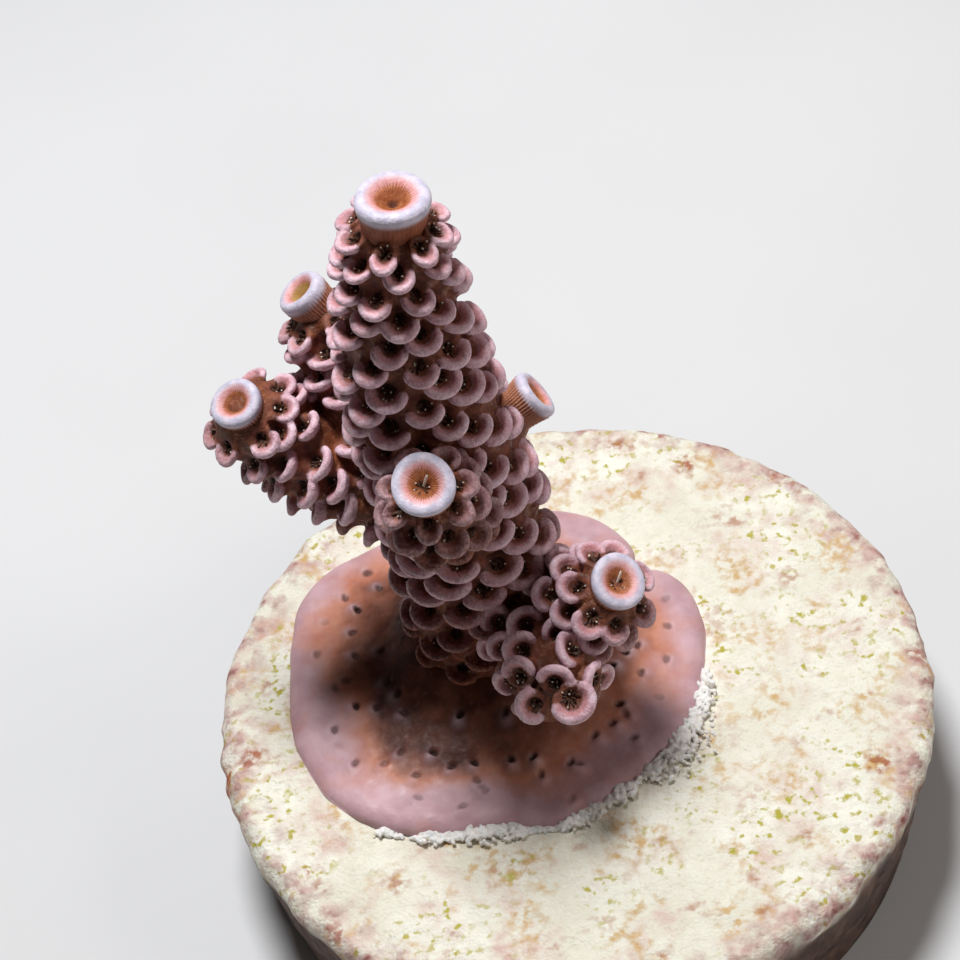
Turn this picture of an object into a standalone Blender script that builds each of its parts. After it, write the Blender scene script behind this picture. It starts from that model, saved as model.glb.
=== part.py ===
"""A fragment of the stony coral Acropora millepora, grown onto a round ceramic disc.

Metres, +Z up. The origin is the centre of the disc's underside, which rests on a table, and -Y is the front.
The coral is one growth, parted at its main forks: an encrusting base, a stem, a leader that carries on
from the stem, and five side branches. Every limb is a tube of scale-like corallites in staggered rows, and
ends in a round axial corallite, except for the low front branch, which is still blunt.
"""

import math

import bmesh
import bpy
from mathutils import Vector

MM = 0.001

# Gap that stays between two solids that touch
GAP = 0.3 * MM

# Ceramic disc
DISC_RADIUS = 16.0 * MM
DISC_FOOT_RADIUS = 15.0 * MM
DISC_THICKNESS = 7.5 * MM
DISC_EDGE_ROUND = 0.7 * MM
DISC_FOOT_CHAMFER = 0.4 * MM
DISC_SIDES = 48
# The rim's waves: how many go round, their share of the height, and where they start
DISC_RIM_WAVE = 0.16 * MM
RIM_WAVES = ((5, 1.0, 1.0), (13, 0.7, 2.0), (29, 0.6, 0.0))

# Encrusting base: the edge is a rounded lip, and the middle rises to a flat seat under the stem
BASE_CENTRE = (-2.9 * MM, 0.9 * MM)
BASE_SIDES = 40
BASE_EDGE_HEIGHT = 0.55 * MM
BASE_SEAT_HEIGHT = 1.7 * MM
BASE_SEAT_RADIUS = 3.5 * MM
BASE_RINGS = 7
BASE_SWELL = 0.45
BASE_LIP = 0.10 * MM
PIMPLE_COUNT = 64
PIMPLE_HEIGHT = 0.3 * MM
# How far the edge lies from BASE_CENTRE in millimetres, every 20 degrees from +X
BASE_REACH = (9.0, 9.7, 9.5, 10.3, 10.1, 10.0, 10.5, 11.0, 10.2, 9.8, 9.7, 9.4, 8.4, 7.6, 7.9, 7.8, 8.0, 8.7)

# Corallites: scoops whose lower lip stands out and up, in staggered rows
ROW_PITCH = 1.15 * MM
LIP_REACH = 0.95 * MM
ROW_WOBBLE = 0.16 * ROW_PITCH
TURN_WOBBLE = 0.10
SIZES = (0.88, 1.12)
COLUMNS_PER_SCOOP = 4
# One scoop's columns are its middle, two sides and the gap to the next. Each entry is a ring of the row, and
# gives for middle, side and gap how far along the row's pitch it lies and how far out, as shares
SCOOP_RINGS = (
    ((0.58, 1.00), (0.64, 0.86), (0.50, 0.24)),
    ((0.62, 0.12), (0.84, 0.28), (0.84, 0.06)),
)
# Where along the pitch the same rings lie where a scoop has shrunk to nothing
FLAT_RINGS = (0.4, 0.8)
# The last rows of scoops before an axial corallite are younger and smaller
YOUNG_ROWS = 4.2
YOUNG_SHARE = 0.55
# Scoops grow from this share of their size at the first height above the disc to all of it at the second
LOW_SHARE = 0.25
LOW_HEIGHTS = (1.5, 9.0)
# A scoop shrinks to nothing where its lip would come this near to a limb that grows here, or to a parent limb
CLEAR_OF_LIMB = (0.8 * MM, 1.5 * MM)
CLEAR_OF_PARENT = (0.2 * MM, 0.8 * MM)
# Plain rings below the first row, about this far apart
LEAD_IN = 1.6 * MM
# A blunt end, as shares of the core's radius along the limb and out
BLUNT_PROFILE = ((0.0, 1.0), (0.62, 0.86), (1.05, 0.5))
KEEPOUT_SIDES = 28
KEEPOUT_RINGS = 24
KEEPOUT_STRETCH = 1.0 * MM

# Axial corallite: a tube with a thick round rim and a shallow cup. Each entry is a share of its height and
# one of its outer radius, and the floor is a share of its height
CUP_PROFILE = (
    (0.00, 0.84),
    (0.78, 1.00),
    (1.03, 0.84),
    (0.99, 0.58),
    (0.74, 0.34),
)
CUP_FLOOR = 0.60

TRUNK_LINE = ((-3.4, 2.7, 0.9), (-3.3, 2.7, 5.0), (-3.4, 2.7, 9.5), (-3.9, 2.7, 14.5), (-4.5, 2.7, 20.0),
              (-4.5, 2.7, 25.0), (-4.15, 2.7, 29.8))
TRUNK_CORE = (3.1, 3.0, 2.95, 2.75, 2.4, 1.9, 1.35)
STEM_ROWS = 6
# The flat cut between stem and leader lies this share of a row's pitch into the next row
CUT_SHARE = 0.3
TRUNK_ROWS = 22
TRUNK_FIRST_ROW = 2.5 * MM

# Side limbs: centre line and core radius in millimetres, heights above the disc's top. "first" is how far
# along the line the first row of scoops starts, and "of" names the limbs that it grows from
LIMBS = {
    "left_branch": dict(
        line=((-3.6, 2.7, 11.0), (-6.4, 3.8, 12.0), (-9.0, 4.9, 13.2), (-11.2, 5.6, 14.9),
              (-12.0, 5.15, 17.2)),
        core=(1.95, 1.95, 1.95, 1.7, 1.05),
        around=7, rows=6, first=3.5, cup=1.2, cup_height=1.1, of=("trunk",),
    ),
    "back_branch": dict(
        line=((-6.9, 3.8, 12.3), (-7.2, 5.6, 14.0), (-7.4, 7.3, 15.9), (-7.8, 8.3, 18.0),
              (-8.7, 8.5, 19.8)),
        core=(1.75, 1.7, 1.6, 1.45, 1.05),
        around=6, rows=5, first=2.13, cup=1.3, cup_height=1.2, of=("trunk", "left_branch"),
    ),
    "front_branch": dict(
        line=((-3.8, 2.7, 13.2), (-4.2, 0.6, 14.3), (-4.55, -1.2, 16.0), (-4.7, -2.1, 17.9)),
        core=(1.7, 1.7, 1.6, 1.15),
        around=7, rows=4, first=2.76, cup=1.35, cup_height=1.0, of=("trunk",),
    ),
    "low_right_branch": dict(
        line=((-3.3, 2.4, 4.4), (-1.4, 0.9, 5.5), (0.5, -0.5, 6.9), (1.6, -1.3, 8.3), (2.2, -1.8, 9.6)),
        core=(1.9, 1.9, 1.8, 1.6, 1.1),
        around=7, rows=5, first=2.93, cup=1.26, cup_height=1.0, of=("trunk",),
    ),
    "low_front_branch": dict(
        line=((-1.7, 1.0, 5.3), (-1.2, -1.0, 5.6), (-0.8, -2.8, 5.9), (-0.6, -4.2, 6.1)),
        core=(1.9, 1.85, 1.8, 1.5),
        around=7, rows=3, first=1.9, cup=0.0, cup_height=0.0, of=("trunk", "low_right_branch"),
    ),
}

# A young branchlet on the leader's right, still only its axial corallite
BUD_LINE = ((-3.4, 3.1, 13.2), (-1.4, 4.2, 14.2), (0.4, 4.6, 15.3))
BUD_CORE = (1.2, 1.15, 0.95)
BUD_AROUND = 5
BUD_CUP = 1.12 * MM
BUD_CUP_HEIGHT = 1.1 * MM
TRUNK_CUP = 1.5 * MM
TRUNK_CUP_HEIGHT = 1.4 * MM
TRUNK_AROUND = 8

COLOURS = {
    "disc": (0.78, 0.74, 0.58, 1.0),
    "base": (0.52, 0.36, 0.40, 1.0),
    "limb": (0.42, 0.24, 0.17, 1.0),
}
ROUGHNESS = {"disc": 0.9, "base": 0.5, "limb": 0.6}


def clear_scene():
    for obj in list(bpy.data.objects):
        bpy.data.objects.remove(obj, do_unlink=True)


def make_material(name):
    material = bpy.data.materials.new(name)
    material.use_nodes = True
    shader = material.node_tree.nodes["Principled BSDF"]
    shader.inputs["Base Color"].default_value = COLOURS[name]
    shader.inputs["Roughness"].default_value = ROUGHNESS[name]
    shader.inputs["Metallic"].default_value = 0.0
    return material


def add_object(name, mesh, material):
    obj = bpy.data.objects.new(name, mesh)
    bpy.context.scene.collection.objects.link(obj)
    mesh.materials.append(material)
    mesh.shade_smooth()
    mesh.set_sharp_from_angle(angle=math.radians(40))
    return obj


def hide(name, mesh):
    """A hidden object that only cuts or joins others."""
    obj = bpy.data.objects.new(name, mesh)
    bpy.context.scene.collection.objects.link(obj)
    obj.hide_render = True
    obj.display_type = "WIRE"
    return obj


def smoothstep(low, high, value):
    share = min(1.0, max(0.0, (value - low) / (high - low)))
    return share * share * (3.0 - 2.0 * share)


def spread(seed):
    """A number from 0 to 1 that looks random and is always the same for the same seed."""
    return math.modf(abs(math.sin(seed * 12.9898) * 43758.5453))[0]


def spline(a, b, c, d, t):
    """The Catmull-Rom curve from b to c at share t, for numbers or for points."""
    straight = 2 * b + (c - a) * t
    return 0.5 * (straight + (2 * a - 5 * b + 4 * c - d) * t * t + (3 * b - a - 3 * c + d) * t ** 3)


class Axis:
    """A smooth centre line through a limb's points, with a radius and a turning frame all along it."""

    STEPS = 24

    def __init__(self, line, core):
        knots = [Vector((x, y, z)) * MM + Vector((0, 0, DISC_THICKNESS)) for x, y, z in line]
        radii = [r * MM for r in core]
        self.points = []
        self.radii = []
        for i in range(len(knots) - 1):
            before = knots[i - 1] if i else knots[i] * 2 - knots[i + 1]
            after = knots[i + 2] if i + 2 < len(knots) else knots[i + 1] * 2 - knots[i]
            for k in range(self.STEPS + (i == len(knots) - 2)):
                t = k / self.STEPS
                self.points.append(spline(before, knots[i], knots[i + 1], after, t))
                self.radii.append(radii[i] + (radii[i + 1] - radii[i]) * (t * t * (3 - 2 * t)))
        self.lengths = [0.0]
        for a, b in zip(self.points, self.points[1:]):
            self.lengths.append(self.lengths[-1] + (b - a).length)
        self.length = self.lengths[-1]
        self.tangents = []
        for i in range(len(self.points)):
            ahead = self.points[min(i + 1, len(self.points) - 1)]
            behind = self.points[max(i - 1, 0)]
            self.tangents.append((ahead - behind).normalized())
        side = self.tangents[0].cross(Vector((0, 1, 0.3))).normalized()
        self.sides = []
        for tangent in self.tangents:
            side = (side - tangent * side.dot(tangent)).normalized()
            self.sides.append(side)

    def at(self, s):
        """Point, tangent, side vector and core radius at length s, going straight on past either end."""
        inside = min(max(s, 0.0), self.length)
        i = 0
        while i < len(self.lengths) - 2 and self.lengths[i + 1] < inside:
            i += 1
        share = (inside - self.lengths[i]) / (self.lengths[i + 1] - self.lengths[i])
        tangent = self.tangents[i].lerp(self.tangents[i + 1], share).normalized()
        point = self.points[i].lerp(self.points[i + 1], share) + tangent * (s - inside)
        side = self.sides[i].lerp(self.sides[i + 1], share)
        side = (side - tangent * side.dot(tangent)).normalized()
        radius = self.radii[i] + (self.radii[i + 1] - self.radii[i]) * share
        return point, tangent, side, radius

    def on(self, s, angle, out):
        """The point at length s and that angle round the line, standing that far out of the core."""
        point, tangent, side, radius = self.at(s)
        across = tangent.cross(side)
        return point + (side * math.cos(angle) + across * math.sin(angle)) * (radius + out)

    def clearance(self, point):
        """How far a point lies outside the limb's core."""
        return min((point - p).length - r for p, r in zip(self.points, self.radii))


class Limb:
    """A tube of staggered rows of scoops along an axis."""

    def __init__(self, axis, around, rows, first, seed, neighbours=(), parents=(), blunt=False):
        self.axis = axis
        self.around = around
        self.rows = rows
        self.first = first
        self.seed = seed
        self.neighbours = neighbours
        self.parents = parents
        self.blunt = blunt

    def place(self, row, column):
        """Length and angle of a scoop, or of the space between two where column isn't whole."""
        angle = 2 * math.pi * (column + 0.5 * (row % 2)) / self.around
        fade = min(1, max(0, self.rows - 1 - row))
        wobble = math.sin(angle + self.seed + 0.25 * row) * ROW_WOBBLE * fade
        turn = math.sin(2 * angle + 1.7 * self.seed + row) * TURN_WOBBLE
        return self.first + row * ROW_PITCH + wobble, angle + turn

    def size(self, row, column):
        """How far this scoop's lip stands out, as a share of the full reach."""
        column = column % self.around
        smallest, largest = SIZES
        share = smallest + (largest - smallest) * spread(self.seed * 7.1 + row * 13.7 + column * 3.3)
        s, angle = self.place(row, column)
        crest = self.axis.on(s + 0.6 * ROW_PITCH, angle, LIP_REACH)
        for other in self.neighbours:
            share *= smoothstep(*CLEAR_OF_LIMB, other.clearance(crest))
        for parent in self.parents:
            share *= smoothstep(*CLEAR_OF_PARENT, parent.clearance(crest) - LIP_REACH)
        if not self.blunt:
            share *= 1 - (1 - YOUNG_SHARE) * smoothstep(YOUNG_ROWS, 0.0, self.rows - 1 - row)
        height = (crest.z - DISC_THICKNESS) / MM
        return share * (LOW_SHARE + (1 - LOW_SHARE) * smoothstep(*LOW_HEIGHTS, height))

    def ring(self, bm, row, profile, flat):
        """One ring of vertices of a row of scoops. Where a scoop has shrunk away, the ring lies at flat."""
        made = []
        for column in range(self.around):
            size = self.size(row, column)
            for part in range(COLUMNS_PER_SCOOP):
                along, out = profile[(0, 1, 2, 1)[part]]
                scoop_size = size if part < 2 else self.size(row, column + 1)
                if part == 2:
                    scoop_size = 0.5 * (size + scoop_size)
                s, angle = self.place(row, column + part / COLUMNS_PER_SCOOP)
                along = flat + (along - flat) * min(1.0, scoop_size)
                position = self.axis.on(s + along * ROW_PITCH, angle, out * scoop_size * LIP_REACH)
                made.append(bm.verts.new(position))
        return made

    def plain_ring(self, bm, s, radius=None, row=0):
        """A flat round ring at length s, in step with the columns of a row."""
        made = []
        for k in range(self.around * COLUMNS_PER_SCOOP):
            angle = self.place(row, k / COLUMNS_PER_SCOOP)[1]
            core = self.axis.at(s)[3]
            made.append(bm.verts.new(self.axis.on(s, angle, 0.0 if radius is None else radius - core)))
        return made

    def shift(self, row):
        """Columns by which an odd row is turned ahead, so that two rows' rings join without a twist."""
        return (row % 2) * COLUMNS_PER_SCOOP // 2

    def build(self, name, first_row, last_row, start, end=None, cup=None):
        """The mesh from row first_row up to last_row.

        start is where the tube begins, and end where it is cut flat. cup is the axial corallite's outer
        radius and height. Without end and cup the limb ends in a blunt dome.
        """
        bm = bmesh.new()
        rings = []
        first_place = self.first + first_row * ROW_PITCH
        lead_in = max(0, int((first_place - start) / LEAD_IN))
        for k in range(lead_in + 1):
            s = start + (first_place - start) * k / (lead_in + 1)
            rings.append((self.plain_ring(bm, s, row=first_row), self.shift(first_row)))
        for row in range(first_row, last_row):
            for profile, flat in zip(SCOOP_RINGS, FLAT_RINGS):
                rings.append((self.ring(bm, row, profile, flat), self.shift(row)))
        top_place = self.first + last_row * ROW_PITCH
        shift = self.shift(last_row)
        if end is not None:
            rings.append((self.plain_ring(bm, end, row=last_row), shift))
        elif cup:
            radius, height = cup
            for along, out in CUP_PROFILE:
                ring = self.plain_ring(bm, top_place + along * height, out * radius, last_row)
                rings.append((ring, shift))
        else:
            core = self.axis.at(top_place)[3]
            for along, out in BLUNT_PROFILE:
                ring = self.plain_ring(bm, top_place + along * core, out * core, last_row)
                rings.append((ring, shift))
        for (low, low_shift), (high, high_shift) in zip(rings, rings[1:]):
            join_rings(bm, low, high, low_shift, high_shift)
        bm.faces.new(list(reversed(rings[0][0])))
        top = rings[-1][0]
        if cup:
            floor = bm.verts.new(self.axis.at(top_place + CUP_FLOOR * cup[1])[0])
            for k, vertex in enumerate(top):
                bm.faces.new((vertex, top[(k + 1) % len(top)], floor))
        else:
            bm.faces.new(top)
        return finish_mesh(bm, name)


def join_rings(bm, low, high, low_shift=0, high_shift=0):
    """A band of quads between two rings with the same number of vertices."""
    count = len(low)
    for k in range(count):
        a, b = (k - low_shift) % count, (k + 1 - low_shift) % count
        c, d = (k + 1 - high_shift) % count, (k - high_shift) % count
        bm.faces.new((low[a], low[b], high[c], high[d]))


def finish_mesh(bm, name):
    """A mesh of triangles that face out, from a closed bmesh."""
    bmesh.ops.triangulate(bm, faces=bm.faces[:])
    bmesh.ops.recalc_face_normals(bm, faces=bm.faces[:])
    mesh = bpy.data.meshes.new(name)
    bm.to_mesh(mesh)
    bm.free()
    return mesh


def add_keepout(name, axis):
    """A hidden plain tube, a little wider than a limb's core, that cuts a gap into what grows from it."""
    bm = bmesh.new()
    rings = []
    for i in range(KEEPOUT_RINGS + 1):
        s = -KEEPOUT_STRETCH + (axis.length + 2 * KEEPOUT_STRETCH) * i / KEEPOUT_RINGS
        turns = [2 * math.pi * k / KEEPOUT_SIDES for k in range(KEEPOUT_SIDES)]
        rings.append([bm.verts.new(axis.on(s, turn, 1.1 * GAP)) for turn in turns])
    for low, high in zip(rings, rings[1:]):
        join_rings(bm, low, high)
    bm.faces.new(list(reversed(rings[0])))
    bm.faces.new(rings[-1])
    return hide(name, finish_mesh(bm, name))


def add_boolean(obj, other, operation):
    modifier = obj.modifiers.new(f"{operation.lower()}_{other.name}", "BOOLEAN")
    modifier.operation = operation
    modifier.object = other
    modifier.solver = "EXACT"


def make_disc(material):
    """A lathed disc with a tapered side, a rounded top edge and a slightly wavy rim."""
    side_top = DISC_THICKNESS - DISC_EDGE_ROUND
    profile = [(DISC_FOOT_RADIUS - DISC_FOOT_CHAMFER, 0.0), (DISC_FOOT_RADIUS, DISC_FOOT_CHAMFER)]
    profile.append((DISC_RADIUS - 0.25 * MM, 0.55 * side_top))
    for step in range(4):
        turn = math.radians(30 * step)
        profile.append((
            DISC_RADIUS - DISC_EDGE_ROUND * (1 - math.cos(turn)),
            side_top + DISC_EDGE_ROUND * math.sin(turn),
        ))
    bm = bmesh.new()
    rings = []
    for radius, z in profile:
        ring = []
        for k in range(DISC_SIDES):
            angle = 2 * math.pi * k / DISC_SIDES
            wave = sum(share * math.sin(count * angle + start) for count, share, start in RIM_WAVES)
            out = radius + wave * DISC_RIM_WAVE * smoothstep(0.0, DISC_THICKNESS, z)
            ring.append(bm.verts.new((out * math.cos(angle), out * math.sin(angle), z)))
        rings.append(ring)
    for low, high in zip(rings, rings[1:]):
        join_rings(bm, low, high)
    bm.faces.new(list(reversed(rings[0])))
    bm.faces.new(rings[-1])
    return add_object("frag_disc", finish_mesh(bm, "frag_disc"), material)


def base_reach(angle):
    """How far the base's edge lies from its centre at that angle, smoothly between the listed reaches."""
    place = (angle % (2 * math.pi)) / (2 * math.pi) * len(BASE_REACH)
    i = int(place)
    near = [BASE_REACH[(i + k) % len(BASE_REACH)] * MM for k in (-1, 0, 1, 2)]
    return spline(*near, place - i)


def base_height(share):
    """The base's height above the disc, at that share of the way from the seat to the edge."""
    rise = (1 - smoothstep(0.0, 0.75, share)) * (BASE_SEAT_HEIGHT - 1.15 * BASE_EDGE_HEIGHT)
    return rise + BASE_EDGE_HEIGHT * (1.15 + BASE_SWELL * math.sin(math.pi * min(1.0, share)))


def base_point(angle, share):
    """A point on the base's top, from the rim of the seat at share 0 to the edge at share 1."""
    seat = Vector((TRUNK_LINE[0][0] * MM, TRUNK_LINE[0][1] * MM, 0))
    seat += Vector((math.cos(angle), math.sin(angle), 0)) * BASE_SEAT_RADIUS
    edge = Vector((*BASE_CENTRE, 0)) + Vector((math.cos(angle), math.sin(angle), 0)) * base_reach(angle)
    point = seat.lerp(edge, share)
    point.z = DISC_THICKNESS + GAP + base_height(share)
    return point


def base_pimples():
    """Angle and share of each small corallite on the base, spread by the golden angle."""
    for i in range(PIMPLE_COUNT):
        share = 0.12 + 0.80 * math.sqrt((i + 0.5) / PIMPLE_COUNT)
        yield i * math.pi * (3 - math.sqrt(5)), share


def make_base(material):
    """The encrusting sheet: a low mound with a rounded edge, a flat seat and small raised corallites."""
    step = 2 * math.pi / BASE_SIDES
    bumps = {}
    for angle, share in base_pimples():
        ring = round(share * BASE_RINGS)
        if 0 < ring < BASE_RINGS:
            bumps[ring, round(angle / step) % BASE_SIDES] = PIMPLE_HEIGHT
    bm = bmesh.new()
    rings = []
    for r in range(BASE_RINGS + 1):
        ring = []
        for k in range(BASE_SIDES):
            point = base_point(k * step, r / BASE_RINGS)
            point.z += bumps.get((r, k), 0.0)
            ring.append(bm.verts.new(point))
        rings.append(ring)
    for out, drop in ((BASE_LIP, 0.5), (0.0, 1.0)):
        ring = []
        for k in range(BASE_SIDES):
            edge = base_point(k * step, 1.0)
            outwards = Vector((math.cos(k * step), math.sin(k * step), 0))
            floor = DISC_THICKNESS + GAP
            edge.z = edge.z + (floor - edge.z) * drop
            ring.append(bm.verts.new(edge + outwards * out))
        rings.append(ring)
    for inner, outer in zip(rings, rings[1:]):
        join_rings(bm, inner, outer)
    bm.faces.new(rings[0])
    bm.faces.new(list(reversed(rings[-1])))
    return add_object("coral_base", finish_mesh(bm, "coral_base"), material)


def add_half_space(name, z, up):
    """A hidden box that takes off everything above the height z, or everything below it."""
    reach = 60 * MM
    bm = bmesh.new()
    bmesh.ops.create_cube(bm, size=reach)
    bmesh.ops.translate(bm, verts=bm.verts, vec=(0, 0, z + (reach if up else -reach) / 2))
    mesh = bpy.data.meshes.new(name)
    bm.to_mesh(mesh)
    bm.free()
    return hide(name, mesh)


def make_trunk(axes, material):
    """The stem and the leader: one line of scoops with a flat cut between the low and the high forks."""
    side_axes = [axes[name] for name in LIMBS]
    trunk = Limb(axes["trunk"], TRUNK_AROUND, TRUNK_ROWS, TRUNK_FIRST_ROW, 1.0, neighbours=side_axes)
    cut = TRUNK_FIRST_ROW + (STEM_ROWS + CUT_SHARE) * ROW_PITCH
    height = axes["trunk"].at(cut)[0].z
    seat = BASE_SEAT_HEIGHT + 2 * GAP - TRUNK_LINE[0][2] * MM
    top = cut + 2 * ROW_PITCH
    stem = add_object("stem", trunk.build("stem", 0, STEM_ROWS + 1, seat, end=top), material)
    add_boolean(stem, add_half_space("above_stem", height - GAP / 2, True), "DIFFERENCE")
    start = TRUNK_FIRST_ROW + (STEM_ROWS - 2) * ROW_PITCH
    cup = (TRUNK_CUP, TRUNK_CUP_HEIGHT)
    mesh = trunk.build("leader", STEM_ROWS - 1, TRUNK_ROWS, start, cup=cup)
    leader = add_object("leader", mesh, material)
    add_boolean(leader, add_half_space("below_leader", height + GAP / 2, False), "DIFFERENCE")
    add_bud(leader)


def add_bud(leader):
    """Joins the young branchlet to the leader."""
    axis = Axis(BUD_LINE, BUD_CORE)
    bud = Limb(axis, BUD_AROUND, 0, axis.length - BUD_CUP_HEIGHT, 9.0)
    mesh = bud.build("leader_bud", 0, 0, 0.0, cup=(BUD_CUP, BUD_CUP_HEIGHT))
    add_boolean(leader, hide("leader_bud", mesh), "UNION")


def make_side_limb(name, seed, axes, keepouts, material):
    """A side branch that starts inside the limbs it grows from and is cut clear of them."""
    limb = LIMBS[name]
    tube = Limb(
        axes[name], limb["around"], limb["rows"], limb["first"] * MM, seed,
        neighbours=[axes[other] for other in LIMBS if name in LIMBS[other]["of"]],
        parents=[axes[parent] for parent in limb["of"]],
        blunt=not limb["cup"],
    )
    cup = (limb["cup"] * MM, limb["cup_height"] * MM) if limb["cup"] else None
    obj = add_object(name, tube.build(name, 0, limb["rows"], 0.0, cup=cup), material)
    for parent in limb["of"]:
        add_boolean(obj, keepouts[parent], "DIFFERENCE")


def main():
    clear_scene()
    limb_material = make_material("limb")
    axes = {"trunk": Axis(TRUNK_LINE, TRUNK_CORE)}
    for name, limb in LIMBS.items():
        axes[name] = Axis(limb["line"], limb["core"])
    make_disc(make_material("disc"))
    make_base(make_material("base"))
    make_trunk(axes, limb_material)
    parents = sorted({parent for limb in LIMBS.values() for parent in limb["of"]})
    keepouts = {name: add_keepout(f"keepout_{name}", axes[name]) for name in parents}
    for seed, name in enumerate(LIMBS, start=2):
        make_side_limb(name, float(seed), axes, keepouts, limb_material)


main()
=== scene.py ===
"""The looks of a small branching coral fragment on its ceramic disc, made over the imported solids.

Lengths are in millimetres above the disc's top until a mesh is made, and its points are then moved into
the frame's metres. The limbs' centre lines, radii and rows are the ones of the CAD, but for three tips that
are moved by less than half a millimetre. Every limb is a distance field, a smooth tube with tilted cups
joined to it and their bowls and pits taken out, from which a surface is drawn.
"""
import itertools
import math

import bpy
import numpy as np
from mathutils import Matrix, Vector


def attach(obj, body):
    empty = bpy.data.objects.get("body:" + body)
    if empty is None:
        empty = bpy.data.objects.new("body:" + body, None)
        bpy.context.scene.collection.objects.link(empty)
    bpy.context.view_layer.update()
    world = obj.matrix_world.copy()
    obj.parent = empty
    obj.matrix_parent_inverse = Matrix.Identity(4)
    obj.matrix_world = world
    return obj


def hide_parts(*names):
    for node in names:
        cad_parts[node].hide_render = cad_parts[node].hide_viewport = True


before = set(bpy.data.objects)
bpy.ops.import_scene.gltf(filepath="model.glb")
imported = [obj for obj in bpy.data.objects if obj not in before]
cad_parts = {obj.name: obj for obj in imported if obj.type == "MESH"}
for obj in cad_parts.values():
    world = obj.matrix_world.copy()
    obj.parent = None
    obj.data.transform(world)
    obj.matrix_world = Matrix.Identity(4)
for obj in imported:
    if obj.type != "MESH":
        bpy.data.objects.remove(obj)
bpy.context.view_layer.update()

MM = 0.001
rng = np.random.default_rng(7)

# The disc
DISC_RADIUS = 16.0
DISC_FOOT_RADIUS = 15.0
DISC_THICKNESS = 7.5
DISC_EDGE_ROUND = 0.8

# The encrusting base: reach from its centre every 20 degrees from +X, as in the CAD, a notch in it (where,
# how wide and how deep), and the heights of its edge and of the mound above that
BASE_CENTRE = np.array([-2.9, 0.9])
BASE_REACH = (9.0, 9.7, 9.5, 10.3, 10.1, 10.0, 10.5, 11.0, 10.2, 9.8, 9.7, 9.4, 8.4, 7.6, 7.9, 7.8, 8.0, 8.7)
BASE_NOTCH = (math.radians(38), 0.07, 0.9)
BASE_EDGE = 0.62
BASE_RISE = 1.15
PIMPLES = 84

# Limbs: centre line, core radius, scoops round the limb, rows, start of the first row, outer radius and
# height of the axial corallite. "ribs" is how ribbed its wall is, "young" how much smaller the last scoops
# are, and "pale" how pale the lips are; the front branch's low "pale" is painted shade on its lips
ROW_PITCH = 1.15
ROW_WOBBLE = 0.16 * ROW_PITCH
LIMBS = {
    "trunk": dict(
        line=((-3.4, 2.7, 0.9), (-3.3, 2.7, 5.0), (-3.4, 2.7, 9.5), (-3.9, 2.7, 14.5), (-4.5, 2.7, 20.0),
              (-4.5, 2.7, 25.0), (-4.15, 2.7, 29.8)),
        core=(3.1, 3.0, 2.95, 2.75, 2.4, 1.9, 1.35),
        around=8, rows=22, first=2.5, cup=1.5, cup_height=1.4, of=(), seed=1.0, ribs=0.12,
        young=0.22,
    ),
    "left_branch": dict(
        line=((-3.6, 2.7, 11.0), (-6.4, 3.8, 12.0), (-9.0, 4.9, 13.2), (-11.2, 5.6, 14.9),
              (-12.28, 5.25, 17.28)),
        core=(1.95, 1.95, 1.95, 1.7, 1.05),
        around=7, rows=6, first=3.5, cup=1.17, cup_height=1.1, of=("trunk",), seed=2.0, ribs=1.0,
        young=0.25,
    ),
    "back_branch": dict(
        line=((-6.9, 3.8, 12.3), (-7.2, 5.6, 14.0), (-7.4, 7.3, 15.9), (-7.8, 8.3, 18.0),
              (-9.12, 8.60, 19.84)),
        core=(1.75, 1.7, 1.6, 1.45, 1.05),
        around=6, rows=5, first=2.13, cup=1.14, cup_height=1.42, of=("trunk", "left_branch"), seed=3.0,
        ribs=1.0, young=0.25,
    ),
    "front_branch": dict(
        line=((-3.8, 2.7, 13.2), (-4.2, 0.6, 14.3), (-4.55, -1.2, 16.0), (-4.72, -1.98, 17.8)),
        core=(1.7, 1.7, 1.6, 1.15),
        around=7, rows=4, first=2.76, cup=1.35, cup_height=1.0, of=("trunk",), seed=4.0, ribs=0.4,
        # The front branch's low "pale" is painted shade on its lips, under its axial corallite
        young=0.05, pale=0.5,
    ),
    "low_right_branch": dict(
        line=((-3.3, 2.4, 4.4), (-1.4, 0.9, 5.5), (0.5, -0.5, 6.9), (1.6, -1.3, 8.3), (2.2, -1.8, 9.6)),
        core=(1.9, 1.9, 1.8, 1.6, 1.1),
        around=7, rows=5, first=2.93, cup=1.26, cup_height=1.0, of=("trunk",), seed=5.0, ribs=0.4,
        young=0.0,
    ),
    "low_front_branch": dict(
        line=((-1.7, 1.0, 5.3), (-1.2, -1.0, 5.6), (-0.8, -2.8, 5.9), (-0.6, -4.2, 6.1)),
        core=(1.9, 1.85, 1.8, 1.5),
        around=7, rows=3, first=1.9, cup=0.0, cup_height=0.0, of=("trunk", "low_right_branch"), seed=6.0,
        young=0.0,
    ),
}
BUD = dict(
    line=((-3.4, 3.1, 13.2), (-1.4, 4.2, 14.2), (0.4, 4.6, 15.3)),
    core=(1.2, 1.15, 0.95), cup=1.12, cup_height=1.1, seed=9.0, ribs=1.0,
)
# The trunk's ends, and the stem's share of its rows
TRUNK_ENDS = (-0.2, 31.0)
STEM_ROWS = 6
CUT_SHARE = 0.3
# Scoops grow, and their lips get paler, from these shares to all between these heights. Low on the stem
# the lips' brown is partly the tissue's own colour and partly painted shade
LOW_SIZE = 0.25
GROWTH_HEIGHTS = (1.5, 9.0)
LOW_PALE = 0.3
PALE_HEIGHTS = (5.0, 12.5)

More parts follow.
